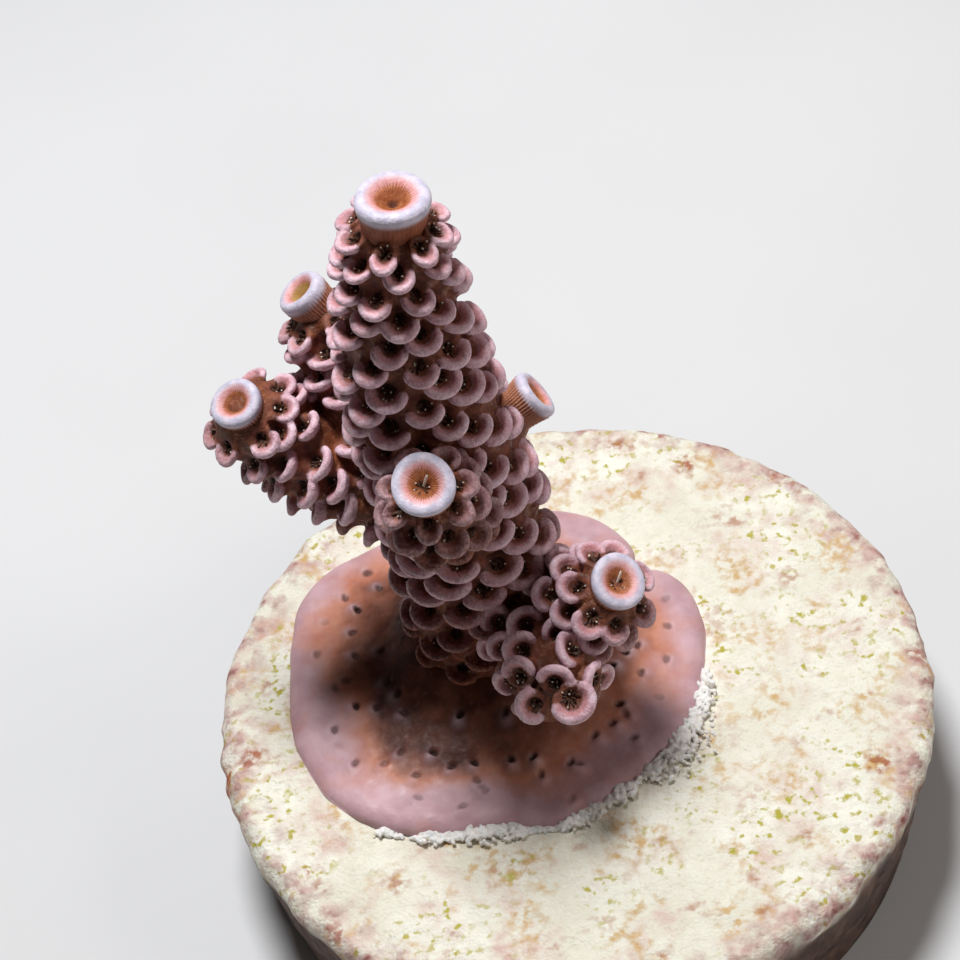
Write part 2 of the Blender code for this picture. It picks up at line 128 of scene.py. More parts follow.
# One scoop: a cup whose axis tilts from the limb's outward direction towards its tip, with a thick round lip
# on the side away from the tip
CUP_TILT = math.radians(62)
CUP_AHEAD = 0.55
CUP_FOOT = 0.50
CUP_RIM = 0.62
CUP_WIDE = 1.14
CUP_HEIGHT = 0.62
LIP_ROUND = 0.20
LIP_TURN = math.radians(79)
BOWL_RADIUS = 0.60
BOWL_RAISE = 0.38
PIT_RADIUS = 0.19
PIT_DEPTH = 0.65
PIT_SHIFT = -0.20

# The least distance from a scoop's foot to another limb's core, where they fork. Below 0 is inside it
SUNK = -0.05

# Bare spots are looked for at this many angles round a limb and filled where the next scoop is this far
# away, but not where they face down or lie low on the stem
FILL_TURNS = 28
FILL_SPACING = 1.32
FILL_FACING = -0.6
FILL_LOWEST = 2.2
FILL_SIZE = 0.8

# Scoops on the low front branch's blunt end: offsets from its middle to the right, up and out as the camera
# sees it, size, where the lip lies in degrees from the right, and how far it reaches round to either side
DOME_SCOOPS = (
    (-1.10, -0.88, 1.05, 0.92, 200, 1.7),
    (0.66, -0.82, 1.45, 1.50, -50, 1.8),
    (-1.38, 0.50, 1.15, 0.95, 100, 1.4),
    (-0.10, 0.32, 1.62, 0.90, 85, 1.4),
    (1.18, 0.22, 1.15, 0.75, 160, 1.3),
    (0.22, 1.15, 1.10, 1.10, 175, 1.6),
)
# How much further out than their feet they point, how they tilt, and how clear of them the rows keep
DOME_OUT = 0.8
DOME_TILT = math.radians(32)
DOME_CLEAR = 1.1
# A limb's tube ends this far before its last row's end, as shares of its radius: below an axial corallite,
# and on a blunt end
CAP_SHARE = 0.6
BLUNT_CAP_SHARE = 0.48

# Distance fields: their voxel, the distance that stands for far away, how far a cup reaches, and over what
# widths cups blend with the tube and with each other, lips with cups, and bowls and pits with what they cut
VOXEL = 0.118
FAR = 1.5
CUP_REACH = 2.1
TUBE_BLEND = 0.34
CUP_BLEND = 0.06
LIP_BLEND = 0.16
CUT_BLEND = 0.10
BUD_BLEND = 0.6
CRUMB_BLEND = 0.04
FIELD_MARGIN = 1.4
CORNERS = list(itertools.product((0, 1), repeat=3))

# Camera: where the photograph was taken from
CAMERA_EYE = (-2.575, -84.344, 116.292)
CAMERA_ELEVATION = math.radians(50.0)
CAMERA_ROLL = math.radians(-9.3)
CAMERA_FOCAL_SHARE = 3200 / 960
SENSOR_WIDTH = 36.0


def smoothstep(low, high, value):
    share = np.clip((value - low) / (high - low), 0, 1)
    return share * share * (3 - 2 * share)


def smooth_min(a, b, width):
    h = np.maximum(width - np.abs(a - b), 0) / width
    return np.minimum(a, b) - h * h * width / 4


def smooth_max(a, b, width):
    return -smooth_min(-a, -b, width)


def spread(seed):
    """A number from 0 to 1 that looks random and is always the same for the same seed."""
    return math.modf(abs(math.sin(seed * 12.9898) * 43758.5453))[0]


def corner_weights(f):
    """The corners of a grid's cell, and the weight of each at a place in it."""
    for corner in CORNERS:
        yield corner, np.prod([f[..., a] if c else 1 - f[..., a] for a, c in enumerate(corner)], axis=0)


def noise(points, size, seed=0.0):
    """Smooth value noise from -1 to 1, with features of that size."""
    p = np.asarray(points, dtype=np.float64) / size + seed * 17.3
    cell = np.floor(p)
    total = 0
    for corner, weight in corner_weights(smoothstep(0, 1, p - cell)):
        lattice = (cell + corner) @ (127.1, 311.7, 74.7)
        total = total + np.modf(np.abs(np.sin(lattice) * 43758.5453))[0] * weight
    return 2 * total - 1


class Path:
    """A limb's centre line, with the radius and the turning frame of the CAD all along it."""

    STEPS = 24

    def __init__(self, line, core, **_):
        knots = np.array(line, dtype=float)
        ends = np.vstack([2 * knots[0] - knots[1], knots, 2 * knots[-1] - knots[-2]])
        points, radii = [], []
        for i in range(len(knots) - 1):
            a, b, c, d = ends[i:i + 4]
            for k in range(self.STEPS + (i == len(knots) - 2)):
                t = k / self.STEPS
                points.append(spline(a, b, c, d, t))
                radii.append(core[i] + (core[i + 1] - core[i]) * t * t * (3 - 2 * t))
        self.points = np.array(points)
        self.radii = np.array(radii)
        self.lengths = np.concatenate([[0], np.cumsum(np.linalg.norm(np.diff(self.points, axis=0), axis=1))])
        self.length = self.lengths[-1]
        self.tangents = unit(np.gradient(self.points, axis=0))
        side = unit(np.cross(self.tangents[0], (0, 1, 0.3)))
        sides = []
        for tangent in self.tangents:
            side = unit(side - tangent * (side @ tangent))
            sides.append(side)
        self.sides = np.array(sides)

    def at(self, s):
        inside = min(max(s, 0.0), self.length)
        pick = lambda table: np.array([np.interp(inside, self.lengths, table[:, a]) for a in range(3)])
        tangent = unit(pick(self.tangents))
        side = pick(self.sides)
        side = unit(side - tangent * (side @ tangent))
        point = pick(self.points) + tangent * (s - inside)
        return point, tangent, side, float(np.interp(inside, self.lengths, self.radii))

    def on(self, s, angle):
        point, tangent, side, radius = self.at(s)
        outward = side * math.cos(angle) + np.cross(tangent, side) * math.sin(angle)
        return point + outward * radius, outward, tangent

    def clearance(self, point):
        return float((np.linalg.norm(self.points - point, axis=1) - self.radii).min())


def spline(a, b, c, d, t):
    straight = 2 * b + (c - a) * t
    return 0.5 * (straight + (2 * a - 5 * b + 4 * c - d) * t * t + (3 * b - a - 3 * c + d) * t ** 3)


def unit(v):
    v = np.asarray(v, dtype=float)
    return v / np.linalg.norm(v, axis=-1, keepdims=True)


paths = {name: Path(**limb) for name, limb in LIMBS.items()}


def growth(foot):
    """How large scoops are at that height."""
    return LOW_SIZE + (1 - LOW_SIZE) * float(smoothstep(*GROWTH_HEIGHTS, foot[2]))


def scoops_of(name):
    """Every scoop of a limb: its foot on the core, the axes of its cup and its size."""
    limb, path = LIMBS[name], paths[name]
    others = [other for other in LIMBS if name in LIMBS[other]["of"] or other in limb["of"]]
    made = []
    for row in range(-1 if name == "trunk" else -2, limb["rows"]):
        young = 1 - limb["young"] * float(smoothstep(4.2, 0.0, limb["rows"] - 1 - row))
        for column in range(limb["around"]):
            seed = limb["seed"]
            turn = math.tau * (column + 0.5 * (row % 2)) / limb["around"]
            wobble = math.sin(turn + seed + 0.25 * row) * ROW_WOBBLE * min(1, limb["rows"] - 1 - row)
            angle = turn + math.sin(2 * turn + 1.7 * seed + row) * 0.10
            own = seed + row * 1.37 + column * 0.71
            angle += 0.16 * (spread(own + 1.1) - 0.5)
            s = limb["first"] + row * ROW_PITCH + wobble + 0.30 * (spread(own + 2.2) - 0.5)
            foot, outward, tangent = path.on(s + CUP_AHEAD, angle)
            size = (0.88 + 0.24 * spread(seed * 7.1 + row * 13.7 + column * 3.3)) * young * growth(foot)
            room = math.tau * (path.at(s)[3] + 0.5) / limb["around"]
            wide = CUP_WIDE * float(np.clip(room / 2.3, 0.7, 1.15)) * (0.92 + 0.16 * spread(own + 4.4))
            if s < 0 or any(paths[other].clearance(foot) < SUNK for other in others):
                continue
            made.append(scoop(foot, outward, tangent, size, wide, own))
    if not limb["cup"]:
        dome = list(dome_scoops(path, limb))
        feet = np.array([cup["foot"] for cup in dome])
        made = [cup for cup in made if np.linalg.norm(feet - cup["foot"], axis=1).min() > DOME_CLEAR]
        made += dome
    return made


def fill_bare_spots(cups):
    """Adds small scoops near the forks, wherever a limb's surface is still bare."""
    feet = [cup["foot"] for made in cups.values() for cup in made]
    for name, limb in LIMBS.items():
        path = paths[name]
        others = [other for other in LIMBS if other != name]
        for s in np.arange(0.4, rows_end(limb) - 1.0, 0.3):
            for turn in range(FILL_TURNS):
                angle = math.tau * turn / FILL_TURNS
                foot, outward, tangent = path.on(s, angle)
                if min(paths[other].clearance(foot) for other in others) < SUNK:
                    continue
                if foot[2] < FILL_LOWEST or outward[2] < FILL_FACING:
                    continue
                if np.linalg.norm(np.array(feet) - foot, axis=1).min() < FILL_SPACING:
                    continue
                cups[name].append(scoop(foot, outward, tangent, FILL_SIZE * growth(foot), 0.95, s + turn))
                feet.append(foot)


def camera_axes():
    """The directions to the right, up and towards the camera in its picture."""
    sine, cosine = math.sin(CAMERA_ELEVATION), math.cos(CAMERA_ELEVATION)
    right, up, back = np.array([[1, 0, 0], [0, sine, cosine], [0, -cosine, sine]])
    sine, cosine = math.sin(CAMERA_ROLL), math.cos(CAMERA_ROLL)
    return np.array([cosine * right + sine * up, cosine * up - sine * right, back])


def dome_scoops(path, limb):
    """The large scoops on a blunt end."""
    centre = path.at(tube_end(path, limb))[0]
    axes = camera_axes()
    for right, up, out, size, lip, lip_turn in DOME_SCOOPS:
        outward = unit(np.array([right, up, out + DOME_OUT]) @ axes)
        away = -math.cos(math.radians(lip)) * axes[0] - math.sin(math.radians(lip)) * axes[1]
        open_to = unit(away - outward * (outward @ away))
        foot = centre + np.array([right, up, out]) @ axes
        made = scoop(foot, outward, open_to, size, 1.1, right + 7.7, DOME_TILT)
        made["turn"] = lip_turn
        yield made


def rows_end(limb):
    return limb["first"] + limb["rows"] * ROW_PITCH


def tube_end(path, limb):
    """Where a limb's smooth tube ends, below its axial corallite's floor."""
    end = rows_end(limb)
    return end - (CAP_SHARE if limb["cup"] else BLUNT_CAP_SHARE) * path.at(end)[3]


def scoop(foot, outward, tangent, size, wide, seed, tilt=CUP_TILT):
    tilt = tilt + 0.30 * (spread(seed + 3.3) - 0.5)
    axis = unit(math.cos(tilt) * outward + math.sin(tilt) * tangent)
    low = unit(math.sin(tilt) * outward - math.cos(tilt) * tangent)
    return dict(
        foot=foot, axis=axis, low=low, across=np.cross(axis, low), wide=wide, size=size,
        height=0.10 + (CUP_HEIGHT - 0.10) * size, rim=0.36 + (CUP_RIM - 0.36) * size,
        lip=LIP_ROUND * (0.55 + 0.45 * size), turn=LIP_TURN * (0.85 + 0.25 * spread(seed + 5.1)),
        # Lips of scoops that face down are less pale: painted shade on the undersides
        pale=0.35 + 0.65 * float(smoothstep(-0.8, 0.0, outward[2])),
    )


def local(cup, *grid):
    """Height along a cup's axis, and offsets towards its low lip and across it."""
    offsets = [q - p for q, p in zip(grid, cup["foot"])]
    h, low, across = (sum(o * w for o, w in zip(offsets, cup[way])) for way in ("axis", "low", "across"))
    return h, low, across / cup["wide"]


def cup_body(cup, *grid):
    h, low, across = local(cup, *grid)
    share = np.clip(h / cup["height"], 0, 1)
    radius = CUP_FOOT * cup["rim"] / CUP_RIM * (1 - share) + (cup["rim"] + 0.14) * share
    wall = (np.sqrt(low * low + across * across) - radius) * 0.9
    return np.maximum(smooth_max(wall, h - cup["height"], 0.2), -h - 0.6)


def cup_lip(cup, *grid):
    """Distance to a round bar that is bent into an arc over the low side of the cup."""
    h, low, across = local(cup, *grid)
    across = np.abs(across)
    sine, cosine = math.sin(cup["turn"]), math.cos(cup["turn"])
    beyond = cosine * across > sine * low
    reach = np.where(beyond, across * sine + low * cosine, np.sqrt(low * low + across * across))
    square = h - cup["height"] + 0.04
    square = square * square + low * low + across * across + cup["rim"] ** 2 - 2 * cup["rim"] * reach
    thin = 0.74 + 0.26 * low / np.sqrt(low * low + across * across + 0.01)
    return np.sqrt(np.maximum(square, 0)) - cup["lip"] * thin


def cup_bowl(cup, *grid):
    h, low, across = local(cup, *grid)
    scale = cup["rim"] / CUP_RIM
    centre = cup["height"] + BOWL_RAISE * scale
    return np.sqrt((h - centre) ** 2 + (low + 0.06) ** 2 + across * across) - BOWL_RADIUS * scale


def cup_pit(cup, *grid):
    h, low, across = local(cup, *grid)
    top = cup["height"] - 0.1
    along = np.clip(h, top - PIT_DEPTH, top + 0.3)
    scale = 0.75 + 0.25 * cup["size"]
    return np.sqrt((h - along) ** 2 + (low - PIT_SHIFT) ** 2 + across * across) - PIT_RADIUS * scale


class Field:
    """A distance field on a grid of voxels."""

    def __init__(self, low, high, step=VOXEL):
        self.low = np.array(low, dtype=float)
        self.step = step
        shape = np.ceil((np.array(high) - self.low) / step).astype(int) + 1
        self.axes = [(self.low[a] + step * np.arange(shape[a])).astype(np.float32) for a in range(3)]
        self.values = np.full(shape, FAR, dtype=np.float32)

    def block(self, centre, reach):
        """The slice of the grid around a point, and the coordinates in it."""
        shape = self.values.shape
        start = np.clip(np.floor((centre - reach - self.low) / self.step), 0, shape).astype(int)
        stop = np.clip(np.ceil((centre + reach - self.low) / self.step) + 1, start, shape).astype(int)
        where = tuple(slice(a, b) for a, b in zip(start, stop))
        return where, *np.ix_(*(axis[part] for axis, part in zip(self.axes, where)))

    def add_tube(self, path, stop, every=4):
        """Joins a tube round a path to the field."""
        picks = range(0, stop, every)
        for i, j in zip(picks, picks[1:]):
            a, b = path.points[i], path.points[j]
            ra, rb = path.radii[i], path.radii[j]
            reach = max(ra, rb) + FAR + np.linalg.norm(b - a) / 2
            where, *grid = self.block((a + b) / 2, reach)
            offsets = [q - p for q, p in zip(grid, a)]
            way = b - a
            share = np.clip(sum(o * w for o, w in zip(offsets, way)) / (way @ way), 0, 1)
            away = np.sqrt(sum((o - w * share) ** 2 for o, w in zip(offsets, way)))
            self.values[where] = np.minimum(self.values[where], away - ra - (rb - ra) * share)

    def add_blob(self, centre, radius):
        """Joins a small ball to the field."""
        where, *grid = self.block(centre, radius + 0.2)
        away = np.sqrt(sum((q - p) ** 2 for q, p in zip(grid, centre))) - radius
        self.values[where] = smooth_min(self.values[where], away, CRUMB_BLEND)

    def add_cups(self, cups):
        """Joins the cups to the tube. A bowl cuts its own cup and the tube, and a pit cuts everything."""
        walls = np.full_like(self.values, FAR)
        for cup in cups:
            where, *grid = self.block(cup["foot"] + cup["axis"] * 0.3, CUP_REACH)
            bowl = cup_bowl(cup, *grid)
            wall = smooth_max(cup_body(cup, *grid), -bowl, CUT_BLEND)
            wall = smooth_min(wall, cup_lip(cup, *grid), LIP_BLEND)
            walls[where] = smooth_min(walls[where], wall, CUP_BLEND)
            self.values[where] = smooth_max(self.values[where], -bowl, CUT_BLEND)
        self.values = smooth_min(self.values, walls, TUBE_BLEND)
        for cup in cups:
            where, *grid = self.block(cup["foot"] + cup["axis"] * 0.3, CUP_REACH)
            self.values[where] = smooth_max(self.values[where], -cup_pit(cup, *grid), CUT_BLEND)

    def sample(self, points):
        """The field at points, by linear interpolation."""
        p = np.clip((points - self.low) / self.step, 0, np.array(self.values.shape) - 1.001)
        cell = p.astype(int)
        total = 0
        for corner, weight in corner_weights(p - cell):
            total = total + weight * self.values[tuple((cell + corner).T)]
        return total

    def gradient(self, points):
        step = 0.6 * self.step
        ways = np.eye(3) * step
        return np.stack([self.sample(points + w) - self.sample(points - w) for w in ways], 1) / (2 * step)

    def surface(self):
        """Points and quads of the surface where the field is zero, relaxed and pulled back onto it."""
        points, quads = surface_nets(self.values)
        points = self.low + self.step * points
        for _ in range(2):
            points = relax(points, quads, 0.5)
            slope = self.gradient(points)
            steep = np.maximum((slope ** 2).sum(1), 0.15)
            move = slope * (self.sample(points) / steep)[:, None]
            points = points - np.clip(move, -0.5 * self.step, 0.5 * self.step)
        return points, quads


def surface_nets(values):
    """One point in each cell that the surface crosses, and one quad across each crossed grid edge."""
    inside = values < 0
    nx, ny, nz = values.shape
    count = np.zeros((nx - 1, ny - 1, nz - 1), dtype=np.uint8)
    for i, j, k in CORNERS:
        count += inside[i:nx - 1 + i, j:ny - 1 + j, k:nz - 1 + k]
    cells = np.argwhere((count > 0) & (count < 8))
    index = np.full(count.shape, -1, dtype=np.int64)
    index[tuple(cells.T)] = np.arange(len(cells))
    at_corner = [values[tuple((cells + corner).T)] for corner in CORNERS]
    total = np.zeros((len(cells), 3))
    hits = np.zeros(len(cells))
    for a, corner in enumerate(CORNERS):
        for axis in range(3):
            if corner[axis]:
                continue
            va, vb = at_corner[a], at_corner[a + (4, 2, 1)[axis]]
            crossed = (va < 0) != (vb < 0)
            share = np.where(crossed, va / np.where(crossed, va - vb, 1), 0)
            total += np.array(corner) * crossed[:, None] + np.eye(3)[axis] * (share * crossed)[:, None]
            hits += crossed
    points = cells + total / hits[:, None]
    quads = []
    for axis in range(3):
        edges = np.argwhere(np.diff(inside, axis=axis))
        u, v = (axis + 1) % 3, (axis + 2) % 3
        across = edges[:, [u, v]]
        edges = edges[((across > 0) & (across < np.array(values.shape)[[u, v]] - 1)).all(1)]
        steps = np.eye(3, dtype=int)
        ring = [edges + du * steps[u] + dv * steps[v] for du, dv in ((-1, -1), (0, -1), (0, 0), (-1, 0))]
        faces = np.stack([index[tuple(cell.T)] for cell in ring], 1)
        outwards = inside[tuple(edges.T)]
        faces[~outwards] = faces[~outwards][:, ::-1]
        quads.append(faces)
    return points, np.vstack(quads)


def relax(points, quads, amount):
    """Moves each point towards the mean of its neighbours."""
    total = np.zeros_like(points)
    count = np.zeros(len(points))
    for a, b in ((0, 1), (1, 2), (2, 3), (3, 0)):
        for near, far in ((a, b), (b, a)):
            for axis in range(3):
                total[:, axis] += np.bincount(quads[:, near], points[quads[:, far], axis], len(points))
            count += np.bincount(quads[:, near], minlength=len(points))
    return points + amount * (total / count[:, None] - points)


def place(name, data):
    placed = bpy.data.objects.new(name, data)
    bpy.context.scene.collection.objects.link(placed)
    return placed


def make_piece(name, points, quads, material, masks=None, replaces=()):
    """A mesh piece from points in millimetres and quads."""
    mesh = bpy.data.meshes.new(name)
    world = (np.reshape(points, (-1, 3)) + (0, 0, DISC_THICKNESS)) * MM
    mesh.vertices.add(len(world))
    mesh.vertices.foreach_set("co", world.astype(np.float32).ravel())
    mesh.loops.add(quads.size)
    mesh.loops.foreach_set("vertex_index", quads.astype(np.int32).ravel())
    mesh.polygons.add(len(quads))
    mesh.polygons.foreach_set("loop_start", (4 * np.arange(len(quads))).astype(np.int32))
    mesh.update(calc_edges=True)
    mesh.validate()
    mesh.shade_smooth()
    for mask, values in (masks or {}).items():
        attribute = mesh.attributes.new(mask, "FLOAT", "POINT")
        attribute.data.foreach_set("value", np.ravel(values).astype(np.float32))
    mesh.materials.append(material)
    piece = place(name, mesh)
    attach(piece, "root")
    if replaces:
        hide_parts(*replaces)


# Materials

def linear(r, g, b):
    """A linear colour from one written as 0 to 255 sRGB."""
    def channel(v):
        v /= 255
        return v / 12.92 if v <= 0.04045 else ((v + 0.055) / 1.055) ** 2.4
    return (channel(r), channel(g), channel(b), 1.0)


class Look:
    """A node material under construction."""

    def __init__(self, name, roughness):
        self.material = bpy.data.materials.new(name)
        self.material.use_nodes = True
        self.nodes = self.material.node_tree.nodes
        self.links = self.material.node_tree.links
        self.shader = self.nodes["Principled BSDF"]
        self.shader.inputs["Roughness"].default_value = roughness
        self.coordinates = self.nodes.new("ShaderNodeTexCoord").outputs["Object"]

    def connect(self, source, target):
        """Feeds an input from an output, a mask by its name, 0 to 255 sRGB values or a number."""
        if isinstance(source, str):
            source = self.mask(source)
        if hasattr(source, "is_linked"):
            self.links.new(source, target)
        else:
            target.default_value = linear(*source) if isinstance(source, tuple) else source

    def node(self, kind, inputs, **settings):
        """The outputs of a new node with these settings and inputs."""
        made = self.nodes.new(kind)
        for name, value in settings.items():
            setattr(made, name, value)
        for name, value in inputs.items():
            self.connect(value, made.inputs[name])
        return made.outputs

    def mask(self, name):
        return self.node("ShaderNodeAttribute", {}, attribute_name=name)["Fac"]

    def noise(self, size, detail=3.0, low=0.35, high=0.65):
        """Noise with features of that size in millimetres, stretched from low and high to 0 and 1."""
        inputs = {"Vector": self.coordinates, "Scale": 1 / (size * MM), "Detail": detail}
        return self.stretch(self.node("ShaderNodeTexNoise", inputs)["Fac"], low, high)

    def grains(self, size):
        inputs = {"Vector": self.coordinates, "Scale": 1 / (size * MM)}
        return self.node("ShaderNodeTexVoronoi", inputs)["Distance"]

    def stretch(self, value, low, high, to_low=0.0, to_high=1.0):
        inputs = {"Value": value, "From Min": low, "From Max": high, "To Min": to_low, "To Max": to_high}
        return self.node("ShaderNodeMapRange", inputs)["Result"]

    def blotches(self, size, a, b, *stretch):
        return self.mix(self.noise(size, *stretch), a, b)

    def times(self, a, b):
        return self.math("MULTIPLY", a, b)

    def flecks(self, under, colour, patches, grains, share=1.0):
        """Small flecks of a colour that come in large patches."""
        amount = self.times(self.noise(*patches), self.noise(*grains))
        return self.mix(self.times(amount, share), under, colour)

    def math(self, operation, a, b=0.0):
        return self.node("ShaderNodeMath", {0: a, 1: b}, operation=operation)[0]

    def mix(self, share, a, b):
        outputs = self.node("ShaderNodeMix", {"Factor": share, "A": a, "B": b}, data_type="RGBA")
        return next(o for o in outputs if o.type == "RGBA")

    def flesh(self, weight, radius, reach):
        """Light that goes that many millimetres into the tissue."""
        self.shader.inputs["Subsurface Weight"].default_value = weight
        self.shader.inputs["Subsurface Radius"].default_value = radius
        self.shader.inputs["Subsurface Scale"].default_value = reach * MM

    def colour(self, socket):
        self.links.new(socket, self.shader.inputs["Base Color"])

    def roughness(self, socket):
        self.links.new(socket, self.shader.inputs["Roughness"])

    def bump(self, height, depth, strength=1.0, after=None):
        inputs = {"Height": height, "Distance": depth * MM, "Strength": strength}
        if after:
            inputs["Normal"] = after
        normal = self.node("ShaderNodeBump", inputs)["Normal"]
        self.links.new(normal, self.shader.inputs["Normal"])
        return normal


def branch_look():
    """Brown tissue with pink-lavender lips, orange-brown bowls and dark pits."""
    look = Look("branch_tissue", 0.55)
    tissue = look.blotches(2.2, (88, 40, 20), (130, 70, 38))
    tissue = look.blotches(0.28, tissue, (174, 110, 78), 4.0, 0.50, 0.80)
    bowl = look.blotches(0.4, (96, 46, 30), (146, 84, 62))
    lip = look.blotches(0.6, (212, 168, 180), (240, 208, 219))
    lip = look.mix("glow", lip, (198, 122, 120))
    rays = look.math("SINE", look.times("turn", 46.0))
    uneven = look.math("ADD", look.stretch(rays, -1.0, 1.0, -0.2, 0.2), look.noise(0.16, 3.0, 0.3, 0.7))
    edge = look.math("ADD", "lip", look.stretch(uneven, 0.0, 1.0, -0.16, 0.16))
    colour = look.mix("bowl", tissue, bowl)
    colour = look.mix(look.stretch(edge, 0.14, 0.95), colour, lip)
    colour = look.mix("pit", colour, (40, 20, 12))
    grains = look.grains(0.13)
    colour = look.mix(look.stretch(grains, 0.3, 0.8, 0.0, 0.22), colour, (78, 38, 26))
    look.colour(colour)
    look.roughness(look.noise(0.4, 2.0, -0.6, 1.3))
    first = look.bump(look.stretch(grains, 0.0, 0.8, 1.0, 0.0), 0.016)
    second = look.bump(rays, 0.005, 0.5, after=first)
    look.bump(look.noise(0.5), 0.05, 0.6, after=second)
    look.flesh(0.08, (1.0, 0.45, 0.3), 0.4)
    look.shader.inputs["Specular IOR Level"].default_value = 0.45
    return look.material


def axial_look():
    """A white ring with a pink inner edge, an orange-brown funnel and orange-brown ribs with pale crests and
    dots, partly painted highlight.
    """
    look = Look("axial_corallite", 0.5)
    wall = look.blotches(0.5, (132, 66, 36), (162, 92, 56))
    # The ribs' pale crests and knobs are partly their own colour and partly painted highlight
    ribs = look.mix("rib", wall, (202, 152, 126))
    white = look.blotches(0.4, (186, 182, 200), (216, 208, 222))
    pink = look.blotches(0.3, (214, 146, 144), (224, 172, 170))
    funnel = look.blotches(0.2, (158, 84, 42), (190, 118, 72))
    funnel = look.mix("green", funnel, (176, 164, 70))
    colour = look.mix("ring", ribs, white)
    colour = look.mix("blush", colour, pink)
    colour = look.mix("funnel", colour, funnel)
    colour = look.mix("pit", colour, (76, 34, 18))
    look.colour(colour)
    look.roughness(look.noise(0.3, 2.0, -0.6, 1.4))
    look.bump(look.stretch(look.grains(0.11), 0.0, 0.8, 1.0, 0.0), 0.012)
    look.flesh(0.2, (1.0, 0.6, 0.5), 0.4)
    return look.material


def polyp_look():
    look = Look("polyp", 0.35)
    dark = look.blotches(0.15, (48, 28, 20), (104, 70, 52))
    look.colour(look.mix("tip", dark, (226, 214, 200)))
    look.roughness(look.noise(0.2, 2.0, -0.5, 1.8))
    look.bump(look.noise(0.08), 0.01)
    return look.material


def base_look():
    """Lavender-pink tissue at the edge that turns orange-brown, then dark brown with painted shade, towards
    the stem, with dark pits.
    """
    look = Look("base_tissue", 0.4)
    edge = look.blotches(1.6, (184, 146, 152), (204, 168, 174))
    # The inner dark brown is partly the tissue's own colour and partly painted shade under the coral
    inner_brown_and_shade = look.blotches(1.4, (72, 33, 20), (106, 55, 36))
    warmth_and_painted_shade = look.math("ADD", "warmth_and_painted_shade", look.stretch(look.noise(2.0), 0.0, 1.0, -0.16, 0.16))
    middle = look.blotches(1.1, (184, 115, 90), (201, 138, 114))
    colour = look.mix(look.stretch(warmth_and_painted_shade, 0.02, 0.5), edge, middle)
    colour = look.mix(look.stretch(warmth_and_painted_shade, 0.5, 1.0), colour, inner_brown_and_shade)
    specks = look.times(look.noise(0.22, 4.0, 0.55, 0.9), 0.15)
    colour = look.mix(specks, colour, (214, 186, 194))
    colour = look.mix(look.times("ring", 0.7), colour, (200, 176, 186))
    colour = look.mix("pit", colour, (50, 26, 18))
    look.colour(colour)
    look.roughness(look.noise(0.5, 2.0, -0.6, 1.5))
    first = look.bump(look.stretch(look.grains(0.10), 0.0, 0.8, 1.0, 0.0), 0.003)
    look.bump(look.noise(0.8), 0.04, 0.6, after=first)
    look.flesh(0.15, (1.0, 0.5, 0.4), 0.5)
    look.shader.inputs["Specular IOR Level"].default_value = 0.3
    return look.material


PINK, OCHRE, YELLOW_GREEN, RUST = (206, 170, 158), (200, 158, 88), (178, 168, 62), (164, 92, 44)


def disc_look():
    """Cream ceramic under a thin crust, with pink, rust and yellow-green flecks, and a dark brown side."""
    look = Look("crusted_ceramic", 0.85)
    cream = look.blotches(3.0, (224, 220, 202), (238, 236, 222), 4.0)
    cream = look.blotches(0.5, cream, (214, 206, 186), 5.0, 0.48, 1.0)
    outer = look.stretch("outer", 0.0, 1.0, 0.4, 1.0)
    cream = look.flecks(cream, PINK, (2.6, 4.0, 0.46, 0.62), (0.6, 4.0, 0.3, 0.7), outer)
    cream = look.flecks(cream, OCHRE, (2.4, 4.0, 0.52, 0.64), (0.5, 4.0, 0.45, 0.62), 0.8)
    cream = look.flecks(cream, YELLOW_GREEN, (3.1, 3.0, 0.46, 0.60), (0.42, 3.0, 0.56, 0.66))
    cream = look.flecks(cream, RUST, (1.9, 4.0, 0.57, 0.68), (0.4, 4.0, 0.42, 0.58), outer)
    rim = look.blotches(0.5, (150, 92, 84), (206, 172, 166), 4.0)
    rim_share = look.times("rim", look.noise(0.8, 4.0, 0.44, 0.66))
    colour = look.mix(rim_share, cream, rim)
    side = look.blotches(0.9, (52, 34, 26), (104, 76, 62), 5.0)
    colour = look.mix("side", colour, side)
    look.colour(colour)
    look.roughness(look.noise(0.6, 3.0, -1.6, 1.0))
    first = look.bump(look.noise(0.16, 5.0, 0.3, 0.7), 0.035)
    look.bump(look.noise(0.8, 4.0, 0.3, 0.7), 0.08, 0.6, after=first)
    return look.material


def crust_look():
    look = Look("pale_crust", 0.9)
    look.colour(look.blotches(0.3, (240, 232, 222), (253, 250, 245), 4.0))
    look.bump(look.noise(0.12, 4.0), 0.03)
    look.flesh(0.6, (1.0, 0.9, 0.8), 0.5)
    return look.material


# Limbs

def limb_masks(points, cups):
    """How much of lip, bowl and pit each point has, and its turn round the nearest cup's axis."""
    masks = {name: np.zeros(len(points)) for name in ("lip", "glow", "bowl", "pit", "turn")}
    nearest = np.full(len(points), 9.0)
    for cup in cups:
        near = np.nonzero(np.abs(points - cup["foot"]).max(1) < 2.2)[0]
        grid = points[near].T
        h, low, across = local(cup, *grid)
        grown = cup["pale"] * float(smoothstep(0.1, 0.7, cup["size"]))
        to_lip = cup_lip(cup, *grid)
        inward = smoothstep(cup["rim"], cup["rim"] - 0.2, np.hypot(low, across))
        edge = 0.20 + 0.10 * (1 - inward) * smoothstep(-0.2, 0.4, low)
        shares = {
            "lip": grown * smoothstep(edge, 0.02, to_lip),
            "glow": grown * smoothstep(0.20, 0.02, to_lip) * inward * 0.75,
            "bowl": smoothstep(0.20, 0.0, cup_bowl(cup, *grid)),
            "pit": smoothstep(0.10, 0.0, cup_pit(cup, *grid)),
        }
        for name, share in shares.items():
            masks[name][near] = np.maximum(masks[name][near], share)
        closer = to_lip < nearest[near]
        nearest[near[closer]] = to_lip[closer]
        masks["turn"][near[closer]] = np.arctan2(across, low)[closer]
    return masks


